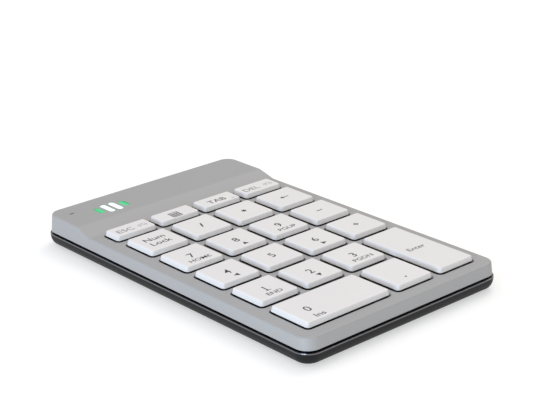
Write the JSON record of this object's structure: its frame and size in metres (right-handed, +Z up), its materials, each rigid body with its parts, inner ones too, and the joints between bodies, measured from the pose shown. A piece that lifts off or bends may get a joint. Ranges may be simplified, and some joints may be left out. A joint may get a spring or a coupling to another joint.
{
  "type": "numeric keypad",
  "caption": "Slim desk keypad: silver-grey cover with separate white keycaps, a raised rear housing with a lit gauge, and a dark polished tray.",
  "frame": {"origin": "middle of the footprint, on the surface the feet stand on", "axes": "+X to the user's right, +Y away from the user towards the raised rear housing, +Z up"},
  "size_m": [0.0852, 0.1378, 0.0117],
  "materials": {
    "cover_silver": "satin silver-grey moulded plastic",
    "tray_black": "polished anthracite moulded plastic",
    "cap_white": "satin off-white moulded plastic with printed legends",
    "lever_plastic": "dark acetal",
    "silicone": "charcoal silicone",
    "foil": "printed polyester foil",
    "steel": "pressed bright steel",
    "rubber": "matt black rubber",
    "board_green": "green solder mask",
    "pouch_silver": "laminated foil pouch",
    "lit_green": "lit clear lens",
    "smoke": "smoked clear lens",
    "slider_black": "satin black acetal",
    "legend_ink": "printed grey ink"
  },
  "bodies": {
    "case": {"bottom_case": "tray_black", "top_cover": "cover_silver", "front_foot": "rubber", "rear_foot": "rubber", "support_plate": "steel", "membrane": "foil", "dome_mat": "silicone", "control_board": "board_green", "battery": "pouch_silver", "charging_socket": "steel", "power_switch": "steel", "indicator_lens": "lit_green", "status_lens": "smoke", "levers_0": "lever_plastic", "levers_decimal": "lever_plastic", "levers_enter": "lever_plastic", "levers_1": "lever_plastic", "levers_2": "lever_plastic", "levers_3": "lever_plastic", "levers_4": "lever_plastic", "levers_5": "lever_plastic", "levers_6": "lever_plastic", "levers_plus": "lever_plastic", "levers_7": "lever_plastic", "levers_8": "lever_plastic", "levers_9": "lever_plastic", "levers_minus": "lever_plastic", "levers_num_lock": "lever_plastic", "levers_divide": "lever_plastic", "levers_multiply": "lever_plastic", "levers_backspace": "lever_plastic", "levers_escape": "lever_plastic", "levers_calculator": "lever_plastic", "levers_tab": "lever_plastic", "levers_delete": "lever_plastic"},
    "key_0": {"key_0": "cap_white"},
    "key_decimal": {"key_decimal": "cap_white"},
    "key_enter": {"key_enter": "cap_white"},
    "key_1": {"key_1": "cap_white"},
    "key_2": {"key_2": "cap_white"},
    "key_3": {"key_3": "cap_white"},
    "key_4": {"key_4": "cap_white"},
    "key_5": {"key_5": "cap_white"},
    "key_6": {"key_6": "cap_white"},
    "key_plus": {"key_plus": "cap_white"},
    "key_7": {"key_7": "cap_white"},
    "key_8": {"key_8": "cap_white"},
    "key_9": {"key_9": "cap_white"},
    "key_minus": {"key_minus": "cap_white"},
    "key_num_lock": {"key_num_lock": "cap_white"},
    "key_divide": {"key_divide": "cap_white"},
    "key_multiply": {"key_multiply": "cap_white"},
    "key_backspace": {"key_backspace": "cap_white"},
    "key_escape": {"key_escape": "cap_white"},
    "key_calculator": {"key_calculator": "cap_white"},
    "key_tab": {"key_tab": "cap_white"},
    "key_delete": {"key_delete": "cap_white"},
    "power_slider": {"power_slider": "slider_black"},
    "stabiliser_0": {"stabiliser_0": "steel"},
    "stabiliser_enter": {"stabiliser_enter": "steel"}
  },
  "joints": [
    {"name": "press_0", "type": "slide", "parent": "case", "child": "key_0", "axis": [0, 0, -1], "range_m": [0, 0.0018], "stiffness_N_per_m": 150, "springref_m": -0.002, "deforming": ["levers_0"]},
    {"name": "press_decimal", "type": "slide", "parent": "case", "child": "key_decimal", "axis": [0, 0, -1], "range_m": [0, 0.0018], "stiffness_N_per_m": 150, "springref_m": -0.002, "deforming": ["levers_decimal"]},
    {"name": "press_enter", "type": "slide", "parent": "case", "child": "key_enter", "axis": [0, 0, -1], "range_m": [0, 0.0018], "stiffness_N_per_m": 150, "springref_m": -0.002, "deforming": ["levers_enter"]},
    {"name": "press_1", "type": "slide", "parent": "case", "child": "key_1", "axis": [0, 0, -1], "range_m": [0, 0.0018], "stiffness_N_per_m": 150, "springref_m": -0.002, "deforming": ["levers_1"]},
    {"name": "press_2", "type": "slide", "parent": "case", "child": "key_2", "axis": [0, 0, -1], "range_m": [0, 0.0018], "stiffness_N_per_m": 150, "springref_m": -0.002, "deforming": ["levers_2"]},
    {"name": "press_3", "type": "slide", "parent": "case", "child": "key_3", "axis": [0, 0, -1], "range_m": [0, 0.0018], "stiffness_N_per_m": 150, "springref_m": -0.002, "deforming": ["levers_3"]},
    {"name": "press_4", "type": "slide", "parent": "case", "child": "key_4", "axis": [0, 0, -1], "range_m": [0, 0.0018], "stiffness_N_per_m": 150, "springref_m": -0.002, "deforming": ["levers_4"]},
    {"name": "press_5", "type": "slide", "parent": "case", "child": "key_5", "axis": [0, 0, -1], "range_m": [0, 0.0018], "stiffness_N_per_m": 150, "springref_m": -0.002, "deforming": ["levers_5"]},
    {"name": "press_6", "type": "slide", "parent": "case", "child": "key_6", "axis": [0, 0, -1], "range_m": [0, 0.0018], "stiffness_N_per_m": 150, "springref_m": -0.002, "deforming": ["levers_6"]},
    {"name": "press_plus", "type": "slide", "parent": "case", "child": "key_plus", "axis": [0, 0, -1], "range_m": [0, 0.0018], "stiffness_N_per_m": 150, "springref_m": -0.002, "deforming": ["levers_plus"]},
    {"name": "press_7", "type": "slide", "parent": "case", "child": "key_7", "axis": [0, 0, -1], "range_m": [0, 0.0018], "stiffness_N_per_m": 150, "springref_m": -0.002, "deforming": ["levers_7"]},
    {"name": "press_8", "type": "slide", "parent": "case", "child": "key_8", "axis": [0, 0, -1], "range_m": [0, 0.0018], "stiffness_N_per_m": 150, "springref_m": -0.002, "deforming": ["levers_8"]},
    {"name": "press_9", "type": "slide", "parent": "case", "child": "key_9", "axis": [0, 0, -1], "range_m": [0, 0.0018], "stiffness_N_per_m": 150, "springref_m": -0.002, "deforming": ["levers_9"]},
    {"name": "press_minus", "type": "slide", "parent": "case", "child": "key_minus", "axis": [0, 0, -1], "range_m": [0, 0.0018], "stiffness_N_per_m": 150, "springref_m": -0.002, "deforming": ["levers_minus"]},
    {"name": "press_num_lock", "type": "slide", "parent": "case", "child": "key_num_lock", "axis": [0, 0, -1], "range_m": [0, 0.0018], "stiffness_N_per_m": 150, "springref_m": -0.002, "deforming": ["levers_num_lock"]},
    {"name": "press_divide", "type": "slide", "parent": "case", "child": "key_divide", "axis": [0, 0, -1], "range_m": [0, 0.0018], "stiffness_N_per_m": 150, "springref_m": -0.002, "deforming": ["levers_divide"]},
    {"name": "press_multiply", "type": "slide", "parent": "case", "child": "key_multiply", "axis": [0, 0, -1], "range_m": [0, 0.0018], "stiffness_N_per_m": 150, "springref_m": -0.002, "deforming": ["levers_multiply"]},
    {"name": "press_backspace", "type": "slide", "parent": "case", "child": "key_backspace", "axis": [0, 0, -1], "range_m": [0, 0.0018], "stiffness_N_per_m": 150, "springref_m": -0.002, "deforming": ["levers_backspace"]},
    {"name": "press_escape", "type": "slide", "parent": "case", "child": "key_escape", "axis": [0, 0, -1], "range_m": [0, 0.0018], "stiffness_N_per_m": 150, "springref_m": -0.002, "deforming": ["levers_escape"]},
    {"name": "press_calculator", "type": "slide", "parent": "case", "child": "key_calculator", "axis": [0, 0, -1], "range_m": [0, 0.0018], "stiffness_N_per_m": 150, "springref_m": -0.002, "deforming": ["levers_calculator"]},
    {"name": "press_tab", "type": "slide", "parent": "case", "child": "key_tab", "axis": [0, 0, -1], "range_m": [0, 0.0018], "stiffness_N_per_m": 150, "springref_m": -0.002, "deforming": ["levers_tab"]},
    {"name": "press_delete", "type": "slide", "parent": "case", "child": "key_delete", "axis": [0, 0, -1], "range_m": [0, 0.0018], "stiffness_N_per_m": 150, "springref_m": -0.002, "deforming": ["levers_delete"]},
    {"name": "power_slide", "type": "slide", "parent": "case", "child": "power_slider", "axis": [1, 0, 0], "range_m": [0, 0.002]},
    {"name": "stabiliser_0_swing", "type": "hinge", "parent": "case", "child": "stabiliser_0", "pos_m": [-0.019, -0.05585, 0.0076], "axis": [1, 0, 0], "range_deg": [0, 23]},
    {"name": "stabiliser_enter_swing", "type": "hinge", "parent": "case", "child": "stabiliser_enter", "pos_m": [0.02735, -0.04478, 0.0076], "axis": [0, -1, 0], "range_deg": [0, 23]}
  ],
  "couplings": [
    {"joint": "stabiliser_0_swing", "follows": "press_0", "rad_per_m": 221.14},
    {"joint": "stabiliser_enter_swing", "follows": "press_enter", "rad_per_m": 221.14}
  ]
}
